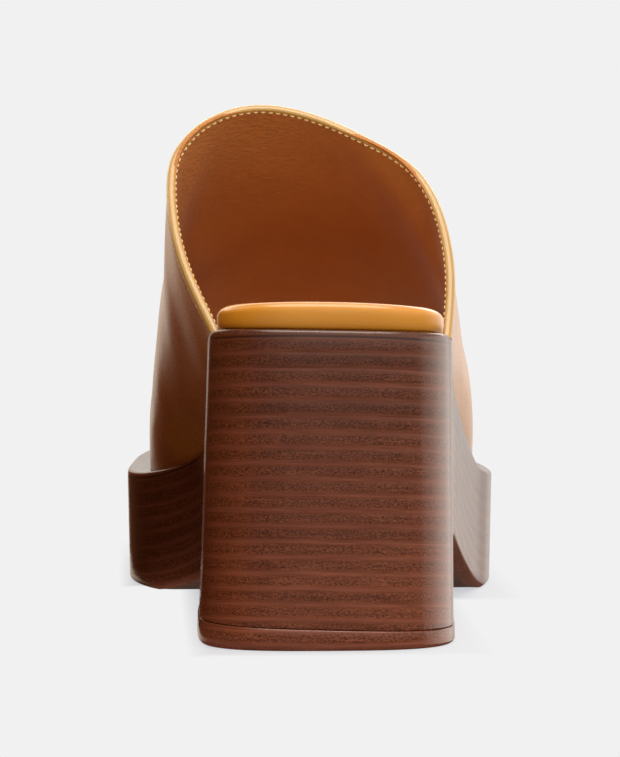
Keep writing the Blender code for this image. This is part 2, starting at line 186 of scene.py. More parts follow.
# Soft troughs (depth > 0) and ridges (depth < 0) of the leather, from (y, z) to (y, z) in the side view
CREASES = [
    Crease("medial", (84, 108), (114, 70), 7.0, 0.4),
    Crease("medial", (97, 112), (127, 76), 8.0, -0.4),
    Crease("medial", (60, 84), (82, 62), 7.0, 0.15),
    Crease("lateral", (84, 98), (112, 66), 8.0, 0.4),
    Crease("lateral", (66, 84), (90, 62), 7.0, -0.3),
    Crease("medial", (130, 88), (140, 56), 4.0, 0.6),
    Crease("medial", (139, 84), (148, 54), 4.5, -0.4),
    Crease("medial", (148, 80), (156, 56), 3.5, 0.5),
    Crease("lateral", (126, 92), (140, 58), 4.0, 0.6),
    Crease("lateral", (136, 88), (148, 56), 4.5, -0.4),
    Crease("lateral", (146, 82), (156, 56), 3.5, 0.5),
]
CREASE_FADE = 12.0

# Folded edges
EDGES = {"topline": 0.0, "toe": 1.0}  # where each is, as a share of the upper's length
FOLD_TIP = 3.0  # how far the fold stands out past the edge of the wall
FOLD_LIP = 0.35  # how far it laps over leather and lining
FOLD_CLEAR = 0.02  # air under that lap
FOLD_OUTER, FOLD_INNER = 1.3, 1.08  # how far it stands out from the wall's middle, to either side
FOLD_ROUND, FOLD_INNER_ROUND = 1.2, 0.7  # length of its rounded end, to either side
FOLD_BLUNT = 0.8  # shape of that end: 1 is an ellipse, less is blunter
FOLD_FOOT = 1.04  # height of its middle over the sole where it ends
FOLD_FOOT_STEP = 0.001  # share of the edge between two tries to find that end
FOLD_STEPS = 14
FOLD_STATIONS = 180

# Stitches
STITCH_PITCH = 2.0
STITCH_LENGTH = 1.5
STITCH_WIDTH = 0.54
STITCH_RISE = STITCH_WIDTH / 3  # height of a thread's middle over the lining
STITCH_SINK = 0.22  # how deep its ends sink into the leather
STITCH_TIP = 0.01  # share of its section that is left at its ends
STITCH_INSIDE = 1.95  # how far past the wall's edge the seam runs, on the lining
STITCH_OUTSIDE = 0.15  # the same on the outer leather, just below the fold
STITCH_SIDES, STITCH_RINGS = 8, 6
SEAM_STEPS = 800

# Degrees between two faces past which their edge is shaded sharp
SHARP, SHARP_FOLD, SHARP_STITCH = 40, 60, 80

# Image and camera
IMAGE_HEIGHT = 757  # pixels, the image's longer side
PHOTO_LENS = 2430.0  # focal length of the photo in its own pixels
PHOTO_HORIZON = (310.0, 206.0)  # pixel straight ahead of the photo's camera
PHOTO_CENTRE = (434.0, 369.3)  # pixel in the middle of the shoe
CAMERA_SPOT = Vector((-50.0, -873.0, 126.3))
ENLARGED = 1.467  # how much larger the shoe is shown than in the photo
SENSOR = 36.0


def in_frame(point):
    return (point - ORIGIN) * MM


# Curves of the last

def smooth(table, column, y):
    """A column of a table at y: a cubic through its rows, with slopes from the neighbouring rows."""
    y = min(max(y, table[0].y), table[-1].y)
    index = max(i for i, row in enumerate(table[:-1]) if row.y <= y)

    def slope(i):
        before, after = table[max(i - 1, 0)], table[min(i + 1, len(table) - 1)]
        return (getattr(after, column) - getattr(before, column)) / (after.y - before.y)

    low, high = table[index], table[index + 1]
    span = high.y - low.y
    t = (y - low.y) / span
    start, end = getattr(low, column), getattr(high, column)
    return (
        start * (2 * t**3 - 3 * t**2 + 1)
        + end * (3 * t**2 - 2 * t**3)
        + span * slope(index) * (t**3 - 2 * t**2 + t)
        + span * slope(index + 1) * (t**3 - t**2)
    )


def smoothstep(low, high, value):
    t = min(max((value - low) / (high - low), 0.0), 1.0)
    return t * t * (3 - 2 * t)


def mix(start, end, share):
    return start + (end - start) * share


def end_rounding(y):
    """Share of the tabled half width that is left where the heel and the toe are rounded."""
    share = 1.0
    for away, end in ((y, HEEL_END), (LENGTH - y, TOE_END)):
        if away < end.length:
            share *= max(1 - (1 - away / end.length) ** end.squareness, 0.0) ** (1 / end.squareness)
    return share


def half_width(y, side, share=1.0):
    """x of the sole's wall at y, at a share of the height of its top."""
    axis = TOE_AXIS * smoothstep(LENGTH - 2 * TOE_END.length, LENGTH - TOE_END.length, y)
    at_top, at_floor = smooth(SOLE, side, y), smooth(SOLE, "floor_" + side, y)
    return axis + (SIGN[side] * mix(at_floor, at_top, share) - axis) * end_rounding(y)


def outline_normal(y, side):
    """Direction square out of the sole's outline at y."""
    low, high = max(y - OUTLINE_STEP, 0.0), min(y + OUTLINE_STEP, LENGTH)
    across = half_width(high, side) - half_width(low, side)
    return Vector((high - low, -across)).normalized() * SIGN[side]


def sole_top(y):
    return smooth(SOLE, "top", y)


def heel_roll(x, y):
    """Height of the heel seat over the table's: rolled sideways, and raised at its back edge."""
    roll = -HEEL_ROLL * x / ROLL_HALF * (1 - smoothstep(*ROLL_FADE, y))
    return roll + SEAT_LIFT * (1 - smoothstep(*LIFT_FADE, y))


def seam_tilt(point):
    """How much the seam's tilt raises a point of the heel's wall."""
    share = min(point.z / TOP_PIECE, 1.0) * (1 - smoothstep(TOP_PIECE, SEAM_TILT_HEAD, point.z))
    share *= 1 - smoothstep(BREAST_FOOT, ARCH_ROOT_END, point.y)
    return -SEAM_TILT * point.x / ROLL_HALF * share


def underside_height(y):
    """Height of the arch, the tread and the toe spring over the floor."""
    spring = TOE_SPRING * (max(y - SPRING_START, 0.0) / (LENGTH - SPRING_START)) ** 2
    return ARCH_RISE * max(ARCH_CONTACT - y, 0.0) ** ARCH_POWER + spring


def edge_arc(radius, steps=ARC_STEPS):
    """(inset, drop) along a quarter round, from the flat face to the wall."""
    angles = [math.radians(90 * i / steps) for i in range(steps + 1)]
    return [(radius * (1 - math.sin(a)), radius * (1 - math.cos(a))) for a in angles]


def spread(low, high, step):
    """Values from low to high, both included, about a step apart."""
    count = max(round((high - low) / step), 1)
    return [mix(low, high, i / count) for i in range(count + 1)]


def bezier(start, corner, end, steps):
    def spot(t):
        return tuple(mix(mix(a, b, t), mix(b, c, t), t) for a, b, c in zip(start, corner, end))

    return [spot(i / steps) for i in range(steps + 1)]


# Stations along the sole

def end_stations(end):
    """Distances from a rounded end of the sole, closer together towards it."""
    angles = [math.radians(90 * (i + 0.5) / (END_STEPS + 0.5)) for i in range(END_STEPS)]
    return [end.length * (1 - math.cos(a) ** (2 / end.squareness)) for a in angles]


HEEL_STATIONS = end_stations(HEEL_END)
TOE_STATIONS = [LENGTH - away for away in reversed(end_stations(TOE_END))]


def stations_between(low, high):
    return spread(low, high, STATION_STEP)[1:-1]


def stations_before(end):
    """Stations from the rounded heel up to an end, which isn't one of them."""
    return HEEL_STATIONS + stations_between(HEEL_STATIONS[-1], end)


def both_sides(stations, spot):
    """Ring of spot(station, side), up the lateral side and back down the medial side."""
    lateral, medial = [[spot(station, side) for station in stations] for side in SIGN]
    return lateral + medial[::-1]


# Mesh making

scene = bpy.context.scene
shoe, sole_pieces, leather_pieces = (bpy.data.collections.new(name) for name in ("shoe", "sole", "leathers"))
scene.collection.children.link(shoe)
shoe.children.link(sole_pieces)
shoe.children.link(leather_pieces)


class Surface:
    """Points and faces of one piece, in the shoe's millimetres."""

    def __init__(self):
        self.points = []
        self.faces = []
        self.finish_numbers = []

    def add(self, points):
        first = len(self.points)
        self.points.extend(points)
        return list(range(first, len(self.points)))

    def face(self, corners, finish=0):
        self.faces.append(corners)
        self.finish_numbers.append(finish)

    def join(self, rows, closed=True):
        """Faces between each two neighbouring rows."""
        count = len(rows[0])
        for low, high in zip(rows, rows[1:]):
            for i in range(count if closed else count - 1):
                j = (i + 1) % count
                self.face((low[i], low[j], high[j], high[i]))

    def loft(self, rings, closed=True):
        """Adds rings of points and the faces between them."""
        rows = [self.add(ring) for ring in rings]
        self.join(rows, closed)
        return rows

    def tube(self, rings):
        """A loft with a face at either end."""
        rows = self.loft(rings)
        self.face(rows[0])
        self.face(rows[-1])

    def rungs(self, ring, finish=lambda i: 0):
        """Closes a ring that runs up the lateral side and back down the medial side."""
        count = len(ring)
        for i in range(count // 2 - 1):
            self.face((ring[i], ring[i + 1], ring[count - 2 - i], ring[count - 1 - i]), finish(i))

    def finished(self, name, finishes, group=leather_pieces, sharp=SHARP):
        mesh = bpy.data.meshes.new(name)
        mesh.from_pydata([in_frame(p) for p in self.points], [], self.faces)
        mesh.polygons.foreach_set("material_index", self.finish_numbers)
        bm = bmesh.new()
        bm.from_mesh(mesh)
        bmesh.ops.remove_doubles(bm, verts=bm.verts[:], dist=WELD)
        bmesh.ops.dissolve_degenerate(bm, edges=bm.edges[:], dist=WELD)
        bmesh.ops.recalc_face_normals(bm, faces=bm.faces[:])
        bm.to_mesh(mesh)
        bm.free()
        mesh.shade_smooth()
        mesh.set_sharp_from_angle(angle=math.radians(sharp))
        for finish in finishes:
            mesh.materials.append(finish)
        piece = bpy.data.objects.new(name, mesh)
        group.objects.link(piece)
        return piece


def seat_piece(piece, slot, *nodes):
    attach(piece, "root")
    if nodes:
        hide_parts(*nodes)


def store_depths(piece, depth):
    """Keeps each point's depth below the sole's top, which the layers of the stacked look follow."""
    values = [depth(vertex.co / MM + ORIGIN) for vertex in piece.data.vertices]
    piece.data.attributes.new("layer_depth", "FLOAT", "POINT").data.foreach_set("value", values)


# Sole unit

Station = namedtuple("Station", "y z inward_y inward_z")  # a point of the underside, and the way in


def underside_path():
    """(y, z) along the middle of the underside: heel seat, breast, arch, tread and toe."""
    seat = TOP_PIECE + SEAM_GAP
    path = [(y, seat) for y in stations_before(SEAT_END)]
    lean = (BREAST_HEAD[0] - BREAST_FOOT) / (BREAST_HEAD[1] - seat)
    breast_start = (BREAST_FOOT + lean * FOOT_CORNER, seat + FOOT_CORNER)
    path += bezier((SEAT_END, seat), (BREAST_FOOT, seat), breast_start, ARC_STEPS)
    for i in range(1, BREAST_STEPS):
        path.append(tuple(mix(low, high, i / BREAST_STEPS) for low, high in zip(breast_start, BREAST_HEAD)))
    corner = (ARCH_CORNER, underside_height(ARCH_CORNER))
    root_end = (ARCH_ROOT_END, underside_height(ARCH_ROOT_END))
    path += bezier(BREAST_HEAD, corner, root_end, 2 * ARC_STEPS)
    tread = stations_between(ARCH_ROOT_END, TOE_STATIONS[0]) + TOE_STATIONS
    return path + [(y, underside_height(y)) for y in tread]


def underside_stations():
    path = underside_path()
    stations = []
    for i, (y, z) in enumerate(path):
        before, after = path[max(i - 1, 0)], path[min(i + 1, len(path) - 1)]
        along = Vector((after[0] - before[0], after[1] - before[1])).normalized()
        stations.append(Station(y, z, -along.y, along.x))
    return stations


def wall_ring(stations, place):
    """Ring of the wall. place(station) gives y, the height as a function of y, and how far it is moved in."""
    def spot(station, side):
        y, height, inset = place(station)
        x = half_width(y, side, height(y) / sole_top(y))
        inwards = -inset * outline_normal(y, side)
        point = Vector((x + inwards.x, y + inwards.y, height(y + inwards.y)))
        roll = heel_roll(point.x, point.y) * (point.z / sole_top(point.y)) ** 2
        point.z += roll + seam_tilt(point)
        return point

    return both_sides(stations, spot)


def edge_radius(station):
    """Rounding of the underside's edge: crisp under the heel, soft along arch and tread."""
    return mix(SEAT_EDGE, BOTTOM_EDGE_RADIUS, smoothstep(SEAT_END, ARCH_ROOT_END, station.y))


def underside_place(inset, lift, support=0.0):
    """Rows of the underside's rounded edge: shares of its radius inwards, and square off the underside."""
    def place(station):
        radius = edge_radius(station)

        def height(y):
            bottom = station.z if station.y <= ARCH_ROOT_END else underside_height(y)
            return bottom + station.inward_z * lift * radius

        return station.y + station.inward_y * lift * radius, height, inset * radius + support
    return place


def depth_place(depth, inset):
    """Rows of the wall at a depth below the top, which end where the underside's rounding starts."""
    def place(station):
        foot_y, foot_height, _ = underside_place(0.0, 1.0)(station)
        foot = foot_height(foot_y)
        head = sole_top(station.y) - TOP_EDGE_RADIUS
        z = max(sole_top(station.y) - depth, foot)
        y = mix(foot_y, station.y, (z - foot) / (head - foot))
        return y, lambda _: z, inset if z > foot else 0.0
    return place


def top_place(inset, drop):
    return lambda station: (station.y, lambda y: sole_top(y) - drop, inset)


def layer_rows():
    """(depth, inset) of the wall's rows: a shallow groove along each line, and one row between two lines."""
    rows = []
    line = FIRST_LINE + LAYER_PITCH
    while line < sole_top(0):
        rows += [(line - LINE_HALF, 0.0), (line, LINE_DEPTH), (line + LINE_HALF, 0.0)]
        rows.append((line + LAYER_PITCH / 2, 0.0))
        line += LAYER_PITCH
    return rows


def wall_depth(point):
    """Depth of a point of the wall below the sole's top, along lines that bow at the heel."""
    bow = LINE_BOW * (point.x / ROLL_HALF) ** 2 * (1 - smoothstep(*ROLL_FADE, point.y))
    top = sole_top(point.y)
    return top + heel_roll(point.x, point.y) - point.z - bow * max(point.z, 0.0) / top


def make_sole(stack, tread):
    stations = underside_stations()
    places = [underside_place(1.0, 0.0, SUPPORT)]
    places += [underside_place(inset, lift) for inset, lift in edge_arc(1.0)]
    places += [depth_place(depth, inset) for depth, inset in reversed(layer_rows())]
    places += [top_place(inset, drop) for inset, drop in reversed(edge_arc(TOP_EDGE_RADIUS))]
    places.append(top_place(TOP_EDGE_RADIUS + SUPPORT, 0.0))
    surface = Surface()
    rows = surface.loft([wall_ring(stations, place) for place in places])
    surface.rungs(rows[0], lambda i: STACK if SEAT_END <= stations[i].y <= ARCH_ROOT_END else TREAD)
    surface.rungs(rows[-1])
    sole = surface.finished("stacked_sole", [stack, tread], sole_pieces)
    store_depths(sole, wall_depth)
    seat_piece(sole, "stacked_sole", "sole_unit")


def make_top_piece(stack, tread):
    """The layer under the heel, with a rounded lower edge and a fine lip at the seam."""
    corner = edge_arc(FOOT_CORNER)[::-1]
    straight = stations_before(SEAT_END)
    stations = straight + [BREAST_FOOT - drop for _, drop in corner]
    tuck = [0.0] * len(straight) + [inset for inset, _ in corner]

    def ring(inset, z):
        points = wall_ring(stations, lambda y: (y, lambda _: z, inset))
        for i, narrowing in enumerate(tuck):
            for point, sign in ((points[i], 1), (points[-1 - i], -1)):
                point.x -= sign * narrowing
                point.y = min(point.y, BREAST_FOOT - inset)
        return points

    rings = [ring(TOP_PIECE_ROUND + SUPPORT, 0.0)]
    rings += [ring(inset - TOP_PIECE_PROUD, lift) for inset, lift in edge_arc(TOP_PIECE_ROUND)]
    rings += [ring(i - TOP_PIECE_PROUD, TOP_PIECE - d) for i, d in reversed(edge_arc(TOP_PIECE_LIP))]
    rings.append(ring(SUPPORT, TOP_PIECE))
    surface = Surface()
    rows = surface.loft(rings)
    surface.rungs(rows[0], lambda i: TREAD)
    surface.rungs(rows[-1])
    piece = surface.finished("top_piece", [stack, tread], sole_pieces)
    seam_depth = FIRST_LINE + LAYER_PITCH * round((sole_top(0) - TOP_PIECE) / LAYER_PITCH)
    store_depths(piece, lambda point: seam_depth + TOP_PIECE - point.z)
    seat_piece(piece, "heel_tip", "heel_top_piece")


# Insole

def insole_thickness(y):
    return mix(INSOLE_THICK_HEEL, INSOLE_THICK_TOE, smoothstep(*INSOLE_THINNING, y))


def insole_ring(stations, inset, height):
    """Ring of the insole's side, at an inset from its margin and a height over the sole."""
    def spot(y, side):
        inwards = -(smooth(INSOLE_MARGIN, side, y) + inset) * outline_normal(y, side)
        point = Vector((half_width(y, side) + inwards.x, y + inwards.y, 0.0))
        crown = CROWN_DROP * (point.x / ROLL_HALF) ** 2 * (1 - smoothstep(*CROWN_FADE, y))
        lift = height(point.y)
        point.z = sole_top(point.y) + heel_roll(point.x, point.y) + INSOLE_GAP
        point.z += lift - crown * lift / INSOLE_THICK_HEEL
        return point

    return both_sides(stations, spot)


def make_insole(leather):
    """Leather-covered footbed with a soft edge and a shallow hollow along its middle."""
    stations = stations_before(TOE_STATIONS[0]) + TOE_STATIONS
    rings = []
    for inset, lift in edge_arc(1.0):
        up = lift * INSOLE_FOOT_UP
        rings.append(insole_ring(stations, inset * INSOLE_FOOT_IN, lambda y: up))
    for inset, drop in reversed(edge_arc(INSOLE_EDGE_RADIUS, 2 * ARC_STEPS)):
        rings.append(insole_ring(stations, inset, lambda y: insole_thickness(y) - drop))
    surface = Surface()
    rows = surface.loft(rings)
    surface.rungs(rows[0])
    edge, count = rings[-1], len(stations)
    columns = [rows[-1][:count]]
    for k in range(1, INSOLE_ACROSS):
        share = k / INSOLE_ACROSS
        hollow = DISH_DEPTH * math.sin(math.pi * share) ** 2
        column = [edge[i].lerp(edge[-1 - i], share) for i in range(count)]
        for i, point in enumerate(column):
            point.z -= hollow * (smoothstep(0, DISH_FADE, i) * smoothstep(0, DISH_FADE, count - 1 - i))
        columns.append(surface.add(column))
    columns.append(rows[-1][count:][::-1])
    surface.join(columns, closed=False)
    for end in (0, -1):
        surface.face([column[end] for column in columns])
    insole = surface.finished("insole_cover", [leather])
    seat_piece(insole, "insole_leather", "insole")


# Upper

def rounded_edge_drop(inset):
    """How far the sole's top has dropped at this distance from its edge."""
    left = max(TOP_EDGE_RADIUS - inset, 0.0)
    return TOP_EDGE_RADIUS - math.sqrt(TOP_EDGE_RADIUS**2 - left**2)


@lru_cache(maxsize=None)
def upper_row(y):
    row = {column: smooth(UPPER, column, y) for column in UpperRow._fields[1:]}
    for side in SIGN:
        ledge = smooth(SOLE, "ledge_" + side, y)
        edge = half_width(y, side)
        row["foot_" + side] = abs(edge) - ledge
        row["foot_z_" + side] = sole_top(y) + heel_roll(edge, y) - rounded_edge_drop(ledge) + FOOT_CLEAR
    return row


def upper_point(y, angle):
    """Outer face of the upper at y. The angle runs from 0 at the lateral sole edge over the crown at 90
    degrees to 180 at the medial sole edge."""
    side = "lateral" if angle <= math.pi / 2 else "medial"
    row = upper_row(round(y, 4))
    power = row["square_" + side]
    c, s = abs(math.cos(angle)), math.sin(angle)
    reach = (c**power + max(s, 0.0) ** power) ** (-1 / power)
    foot_z = row["foot_z_" + side]
    share = s * reach
    belly = row["belly_" + side]
    across = (belly - SIGN[side] * row["crown_x"]) * c * reach
    across -= (belly - row["foot_" + side]) * (1 - share) ** FOOT_PULL
    return Vector((row["crown_x"] + SIGN[side] * across, y, foot_z + (row["crown_z"] - foot_z) * share))


def rim_height(y):
    return sole_top(RIM_START) + RIM_LIFT + RIM_SLOPE * (y - RIM_START)


@lru_cache(maxsize=None)
def rim_y(angle):
    """y where the upper's surface at this angle meets the topline's plane."""
    low, high = RIM_SEARCH
    for _ in range(RIM_HALVINGS):
        middle = (low + high) / 2
        if upper_point(middle, angle).z > rim_height(middle):
            low = middle
        else:
            high = middle
    return low


def toe_edge_y(angle):
    end = TOE_EDGE_LATERAL if angle <= math.pi / 2 else TOE_EDGE_MEDIAL
    return mix(TOE_EDGE_CROWN, end, (1 - math.sin(angle)) ** TOE_EDGE_CURVE)


def upper_surface(along, around):
    """Point of the outer face from its shares of the way from topline to toe edge, and from the lateral to
    the medial sole edge."""
    angle = math.pi * around
    return upper_point(mix(rim_y(angle), toe_edge_y(angle), along), angle)


def crease_depth(point, side):
    """How deep the creases push the leather in at a point of its outer face."""
    depth = 0.0
    for crease in CREASES:
        if crease.side != side:
            continue
        start, end = Vector(crease.start), Vector(crease.end)
        along = (end - start).normalized()
        away = Vector((point.y, point.z)) - start
        reach = away.dot(along)
        past = max(-reach, reach - (end - start).length, 0.0)
        beside = abs(away.x * along.y - away.y * along.x)
        depth += crease.depth * math.exp(-((beside / crease.width) ** 2) - (past / CREASE_FADE) ** 2)
    return depth


def seam_pull(edge):
    """How deep the outer stitches pull the leather in at a distance from the wall's edge."""
    return SEAM_TROUGH * math.exp(-(((edge + STITCH_OUTSIDE) / SEAM_TROUGH_WIDTH) ** 2))


def upper_grid(reach):
    """Rows of (point, outward direction, side, distance from the nearer edge) over the outer face, and a
    reach on past its edges."""
    columns = []
    for k in range(UPPER_COLUMNS + 1):
        around = k / UPPER_COLUMNS
        length = (upper_surface(1.0, around) - upper_surface(0.0, around)).length
        near = [-reach, 0.0, *EDGE_ROWS]
        middle = spread(near[-1], length - near[-1], (length - 2 * near[-1]) / UPPER_ROWS)[1:-1]
        distances = [*near, *middle, *[length - d for d in reversed(near)]]
        columns.append([(upper_surface(d / length, around), min(d, length - d)) for d in distances])
    grid = []
    for i in range(len(columns[0])):
        row = []
        for k, column in enumerate(columns):
            point, edge = column[i]
            lengthwise = column[min(i + 1, len(column) - 1)][0] - column[max(i - 1, 0)][0]
            across = columns[min(k + 1, UPPER_COLUMNS)][i][0] - columns[max(k - 1, 0)][i][0]
            side = "lateral" if 2 * k <= UPPER_COLUMNS else "medial"
            row.append((point, lengthwise.cross(across).normalized(), side, edge))
        grid.append(row)
    return grid


def creased_skin(grid):
    """Rows of points of the outer face, pushed in by its creases and its stitches."""
    return [[p - n * (crease_depth(p, side) + seam_pull(edge)) for p, n, side, edge in row] for row in grid]


def even_skin(grid, depth):
    """Rows of points at one depth below the outer face."""
    return [[point - normal * depth for point, normal, _, _ in row] for row in grid]


def make_shell(name, outer_skin, inner_skin, finish):
    """Closed sheet of the upper between two skins."""
    surface = Surface()
    outer = surface.loft(outer_skin, closed=False)
    inner = surface.loft(inner_skin, closed=False)
    for k in (0, -1):
        surface.join([outer[k], inner[k]], closed=False)
        surface.join([[row[k] for row in outer], [row[k] for row in inner]], closed=False)
    seat_piece(surface.finished(name, [finish]), "upper_leather", "upper")


def make_upper(leather, lining):
    grid = upper_grid(LEATHER_REACH)
    make_shell("upper_leather", creased_skin(grid), even_skin(grid, LEATHER), leather)
    grid = upper_grid(LINING_REACH)
    make_shell("upper_lining", even_skin(grid, LEATHER + LINING_CLEAR), even_skin(grid, WALL), lining)


# Folded edges and stitches

def edge_frame(along, around):
    """Point in the middle of the wall on the edge at along 0 or 1, the direction square out of that edge,
    and the wall's outward direction."""
    before, after = max(along - FEEL, 0.0), min(along + FEEL, 1.0)
    low, high = max(around - FEEL, 0.0), min(around + FEEL, 1.0)
    lengthwise = upper_surface(after, around) - upper_surface(before, around)
    across = upper_surface(along, high) - upper_surface(along, low)
    tangent = across.normalized()
    outward = -lengthwise if along == 0 else lengthwise
    outward = (outward - tangent * outward.dot(tangent)).normalized()
    normal = outward.cross(tangent)
    if normal.dot(lengthwise.cross(across)) < 0:
        normal = -normal
    return upper_surface(along, around) - normal * (WALL / 2), outward, normal


def fold_section():
    """(out, normal) around the fold's section: a blunt roll that laps over leather and lining."""
    half, flush = WALL / 2, WALL / 2 + FOLD_CLEAR
    outer, inner = LEATHER_REACH, LINING_REACH
    between = half - LEATHER
    section = [(outer - FOLD_LIP, flush), (outer - FOLD_LIP, (half + FOLD_OUTER) / 2)]
    for i in range(FOLD_STEPS + 1):
        turn = math.radians(90 - 180 * i / FOLD_STEPS)
        reach, length = (FOLD_OUTER, FOLD_ROUND) if turn > 0 else (FOLD_INNER, FOLD_INNER_ROUND)
        thick = math.copysign(abs(math.sin(turn)) ** FOLD_BLUNT, turn)
        section.append((FOLD_TIP - length * (1 - max(math.cos(turn), 0.0)), reach * thick))
    section += [(inner - FOLD_LIP, -(half + FOLD_INNER) / 2), (inner - FOLD_LIP, -flush)]
    section += [(inner + LINING_CLEAR, -flush), (inner + LINING_CLEAR, between)]
    section += [(outer + LINING_CLEAR, between), (outer + LINING_CLEAR, flush)]
    return section


@lru_cache(maxsize=None)
def fold_ends(along):
    """Shares around the edge between which the fold stays clear of the sole."""
    def clears(around):
        middle, outward, _ = edge_frame(along, around)
        spot = middle + outward * (LEATHER_REACH + FOLD_TIP) / 2
        return spot.z - sole_top(spot.y) - heel_roll(spot.x, spot.y) > FOLD_FOOT

    first, last = 0.0, 1.0
    while not clears(first):
        first += FOLD_FOOT_STEP
    while not clears(last):
        last -= FOLD_FOOT_STEP
    return first, last


def make_fold(name, along, leather, node):
    section = fold_section()
    rings = []
    for i in range(FOLD_STATIONS + 1):
        middle, outward, normal = edge_frame(along, mix(*fold_ends(along), i / FOLD_STATIONS))
        rings.append([middle + outward * o + normal * n for o, n in section])
    surface = Surface()
    surface.tube(rings)
    seat_piece(surface.finished(name, [leather], sharp=SHARP_FOLD), "binding_leather", node)


def seam_points(along, inside):
    """(point, along the seam, outward) for each stitch of the seam next to an edge."""
    def spot(around):
        middle, outward, normal = edge_frame(along, around)
        if inside:
            return middle + outward * STITCH_INSIDE - normal * (WALL / 2 + STITCH_RISE), -normal
        return middle + outward * STITCH_OUTSIDE + normal * (WALL / 2 - SEAM_TROUGH / 2), normal

    first, last = fold_ends(along)
    points = []
    travelled = 0.0
    before, _ = spot(first)
    for i in range(1, SEAM_STEPS + 1):
        point, up = spot(mix(first, last, i / SEAM_STEPS))
        travelled += (point - before).length
        if travelled >= STITCH_PITCH:
            points.append((point, (point - before).normalized(), up))
            travelled -= STITCH_PITCH
        before = point
    return points


def add_stitch(surface, point, along, up):
    """One stitch: a short rounded thread, its ends sunk into the leather."""
    side = up.cross(along).normalized()
    angles = [2 * math.pi * j / STITCH_SIDES for j in range(STITCH_SIDES)]
    rings = []
    for k in range(STITCH_RINGS + 1):
        share = k / STITCH_RINGS * 2 - 1
        radius = STITCH_WIDTH / 2 * math.sqrt(max(1 - share**4, STITCH_TIP))
        centre = point + along * (share * STITCH_LENGTH / 2) - up * (STITCH_SINK * share**2)
        rings.append([centre + (side * math.cos(a) + up * math.sin(a)) * radius for a in angles])
    surface.tube(rings)


def make_seam(name, along, inside, thread):
    surface = Surface()
    for point, direction, up in seam_points(along, inside):
        add_stitch(surface, point, direction, up)
    seat_piece(surface.finished(name, [thread], sharp=SHARP_STITCH), "binding_leather")


# Materials

Noise = namedtuple("Noise", "scale detail roughness", defaults=(2.0, 0.5))
Bump = namedtuple("Bump", "strength depth")  # depth in metres
NOISE_BAND = (0.2, 0.8)  # values that a noise keeps within
MOTTLE_BAND = (0.3, 0.7)  # values of a noise between a material's dark and light colour


class Nodes:
    """Makes and links the nodes of a material or of the world."""

    def __init__(self, tree):
        self.tree = tree

    def feed(self, target, inputs):
        """Fills a node's inputs: a socket is linked, any other value is set."""
        for name, value in inputs.items():
            if isinstance(value, bpy.types.NodeSocket):
                self.tree.links.new(value, target.inputs[name])
            else:
                target.inputs[name].default_value = value

    def make(self, kind, inputs=None, **settings):
        """Outputs of a new node."""
        made = self.tree.nodes.new("ShaderNode" + kind)
        for name, value in settings.items():
            setattr(made, name, value)
        self.feed(made, inputs or {})
        return made.outputs

    def place(self):
        """Where a point is in the frame, in metres."""
        return self.make("TexCoord")["Object"]

    def axes(self, vector):
        return tuple(self.make("SeparateXYZ", {"Vector": vector}))

    def math(self, operation, *values):
        return self.make("Math", dict(enumerate(values)), operation=operation)[0]

    def noise(self, vector, noise):
        inputs = {"Scale": noise.scale, "Detail": noise.detail, "Roughness": noise.roughness}
        return self.make("TexNoise", {"Vector": vector, **inputs})["Fac"]

    def ramp(self, value, places, colours):
        """A colour that runs through others while a value runs through places."""
        output = self.make("ValToRGB", {"Fac": value})["Color"]
        for element, place, colour in zip(output.node.color_ramp.elements, places, colours):
            element.position = place
            element.color = (*colour, 1.0)
        return output

    def fade(self, value, low, high, to_low=0.0, to_high=1.0):
        """A number that runs from to_low to to_high while a value runs from low to high."""
        inputs = {"Value": value, "From Min": low, "From Max": high, "To Min": to_low, "To Max": to_high}
        return self.make("MapRange", inputs)["Result"]

    def beyond(self, value, low, high):
        """How far a value is outside a range, or less than 0 inside it."""
        away = self.math("ABSOLUTE", self.math("SUBTRACT", value, (low + high) / 2))
        return self.math("SUBTRACT", away, (high - low) / 2)

    def mixed(self, share, colour, other, blend="MIX"):
        inputs = {"Fac": share, "Color1": colour, "Color2": other}
        return self.make("MixRGB", inputs, blend_type=blend)["Color"]

    def tinted(self, colour, shade, weight=1.0):
        """A colour multiplied by a grey value."""
        return self.mixed(weight, colour, shade, "MULTIPLY")

    def bump(self, height, bump):
        inputs = {"Height": height, "Strength": bump.strength, "Distance": bump.depth}
        return self.make("Bump", inputs)["Normal"]


def new_material(name):
    material = bpy.data.materials.new(name)
    material.use_nodes = True
    tree = material.node_tree
    return material, Nodes(tree), tree.nodes["Principled BSDF"]


Grain = namedtuple("Grain", "along across detail roughness")  # along and across the layers, per millimetre
WAVER = Grain(0.05, 0.12, 2.0, 0.5)
STREAKS = Grain(0.10, 1.7, 4.0, 0.6)
FLECKS = Grain(1.5, 3.2, 4.0, 0.7)
LINE_COLOUR = (0.158, 0.0437, 0.0229)
WOOD_COLOUR = (0.146, 0.0385, 0.0162)
LINE_FADE = (0.02, 0.17)  # distances from a line, in layers, between its colour and the wood's
LINE_WAVER = 0.07  # how far a line wavers, in layers
LINE_GROOVE = 0.09  # half width of the groove along a line, in layers
LAYER_TONES = (0.9, 1.1)  # darkest and lightest layer
STREAK_BAND, STREAK_TONES = (0.25, 0.75), (0.72, 1.28)
FLECK_BAND, FLECK_TONES = (0.4, 0.6), (0.38, 1.18)
FLECK_FADE = (0.08, 0.3)  # distances from a line, in layers, over which the flecks set in
FLECK_HEIGHT = 0.5
DEPTH_BAND, PAINTED_LIGHT_TONES = (0.0, 75.0), (0.86, 1.42)  # painted light: the wood is lighter further down, where the floor would light it
TOP_LINE = (1.25, 2.1)  # depths between which a dark seam runs along the sole's top edge
TOP_LINE_TONE, TOP_LINE_SOFT = 0.35, (TOP_LINE[1] - TOP_LINE[0]) / 4
STACK_ROUGHNESS = (0.16, 0.26)
